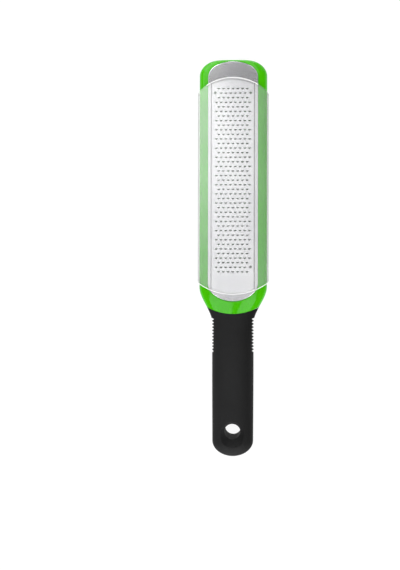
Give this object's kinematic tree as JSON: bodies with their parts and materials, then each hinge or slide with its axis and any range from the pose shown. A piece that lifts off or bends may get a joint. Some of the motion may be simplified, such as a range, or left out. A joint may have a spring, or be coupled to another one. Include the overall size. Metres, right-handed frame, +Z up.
{
  "type": "rasp zester",
  "caption": "Long rasp zester with an etched steel plate in a hard frame, a soft grip with a hang hole, and a clear sleeve cover that slides off over the tip.",
  "frame": {"origin": "middle of the whole tool's footprint, on the surface that it lies on", "axes": "+Y along the tool towards the tip, +Z up through the toothed face, +X across to the right as seen from the handle"},
  "size_m": [0.0572, 0.3174, 0.0206],
  "materials": {
    "green_plastic": "semi-gloss moulded",
    "etched_steel": "etched satin",
    "soft_black": "matte soft-touch",
    "frosted_plastic": "frosted translucent"
  },
  "bodies": {
    "tool": {"frame": "green_plastic", "blade": "etched_steel", "grip": "soft_black", "tip_foot": "soft_black"},
    "cover": {"cover": "frosted_plastic"}
  },
  "joints": [
    {"name": "cover_slide", "type": "slide", "parent": "tool", "child": "cover", "axis": [0, 1, 0], "range_m": [0, 0.2]}
  ]
}
